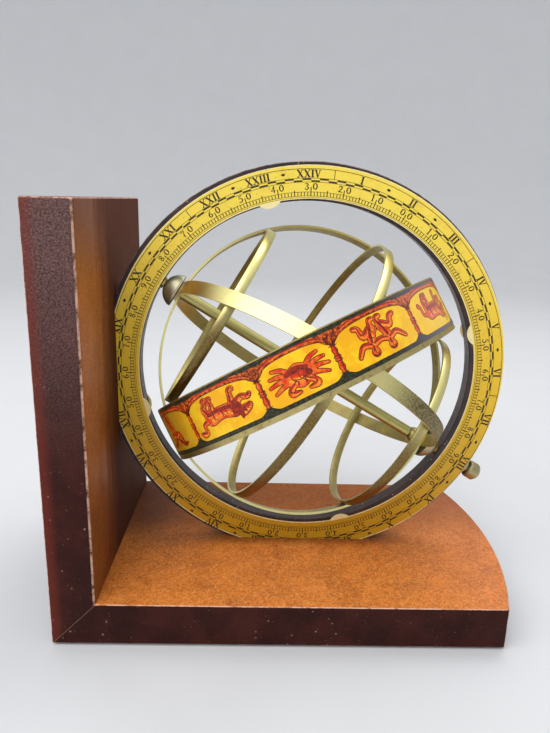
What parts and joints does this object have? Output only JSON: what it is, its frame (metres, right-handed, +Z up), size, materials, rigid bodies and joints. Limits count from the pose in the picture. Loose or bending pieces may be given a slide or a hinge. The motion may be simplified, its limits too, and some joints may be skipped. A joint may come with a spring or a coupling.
{
  "type": "armillary sphere bookend",
  "caption": "L-shaped wooden bookend with an upright wooden meridian ring in which a brass armillary sphere with a printed zodiac band spins on a tilted polar axle.",
  "frame": {"origin": "on the table under the middle of the object's box, under the felt", "axes": "+Z up, +X from the upright board towards the bowed end of the base, the pictured side faces -Y"},
  "size_m": [0.192, 0.1336, 0.1896],
  "materials": {
    "board_wood": "stained and lacquered red-brown wood, orange where the light strikes the base",
    "dowel_wood": "plain beech dowel",
    "felt": "dark brown felt",
    "screw_steel": "plain steel",
    "ring_wood": "dark purple-brown stained edge",
    "scale_paper": "varnished yellow paper with a printed dark scale",
    "fitting_brass": "dull turned brass",
    "sleeve_brass": "brass tube with light tarnish",
    "hoop_brass": "pale brass strip with speckled tarnish",
    "band_brass": "pale brass strip with speckled tarnish",
    "band_paper": "varnished yellow paper with red and dark printed figures",
    "cap_metal": "dull grey-brown brass"
  },
  "bodies": {
    "stand": {"base_board": "board_wood", "upright_board": "board_wood", "mitre_dowels": "dowel_wood", "felt_pad": "felt", "ring_screw": "screw_steel", "meridian_ring": "ring_wood", "front_scale": "scale_paper", "back_scale": "scale_paper", "north_bush": "fitting_brass", "south_bush": "fitting_brass"},
    "sphere": {"axle_rod": "fitting_brass", "axle_sleeve": "sleeve_brass", "pole_bead": "sleeve_brass", "solstitial_colure": "hoop_brass", "equinoctial_colure": "hoop_brass", "celestial_equator": "hoop_brass", "north_circle": "hoop_brass", "south_circle": "hoop_brass", "zodiac_band": "band_brass", "zodiac_print": "band_paper", "north_dome": "cap_metal", "south_dome": "cap_metal", "thrust_collars": "fitting_brass", "turning_knob": "cap_metal"}
  },
  "joints": [
    {"name": "polar_spin", "type": "hinge", "parent": "stand", "child": "sphere", "pos_m": [0.00461, 0, 0.10141], "axis": [-0.859, 0, 0.512], "continuous": true}
  ]
}
